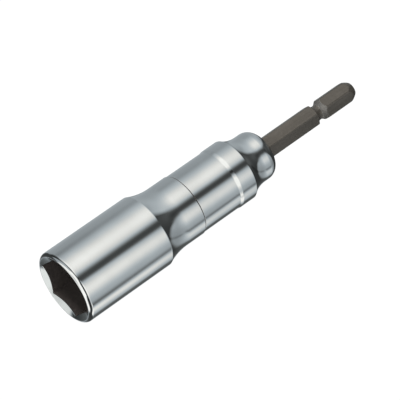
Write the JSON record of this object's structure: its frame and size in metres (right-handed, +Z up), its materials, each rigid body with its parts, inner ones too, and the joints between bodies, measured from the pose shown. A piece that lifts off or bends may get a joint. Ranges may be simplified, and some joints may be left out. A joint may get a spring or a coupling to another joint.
{
  "type": "hex socket",
  "caption": "Deep hex socket for power drivers: chromed socket head and rear housing, dark hex shank with a detent groove, and a sprung magnet plunger in the recess.",
  "frame": {"origin": "centre of the socket's mouth, in the plane of its face", "axes": "+X along the tool's axis from the mouth to the shank's tip, +Z up with the tool on its side, two flats of each hexagon facing up and down"},
  "size_m": [0.1115, 0.0232, 0.0232],
  "materials": {
    "head_chrome": "satin chrome plate",
    "housing_chrome": "satin chrome plate",
    "shank_phosphate": "dark phosphate",
    "spring_steel": "oiled blued steel",
    "spring_wire": "bright spring wire",
    "plunger_steel": "turned steel",
    "magnet_nickel": "nickel plate"
  },
  "bodies": {
    "socket": {"socket_head": "head_chrome", "rear_housing": "housing_chrome", "drive_shank": "shank_phosphate", "shank_retaining_ring": "spring_steel", "spring_seat": "spring_steel", "plunger_spring": "spring_wire"},
    "plunger": {"magnet_plunger": "plunger_steel", "magnet": "magnet_nickel"}
  },
  "joints": [
    {"name": "plunger_slide", "type": "slide", "parent": "socket", "child": "plunger", "axis": [1, 0, 0], "range_m": [0, 0.014], "stiffness_N_per_m": 300, "springref_m": -0.006, "deforming": ["plunger_spring"]}
  ]
}
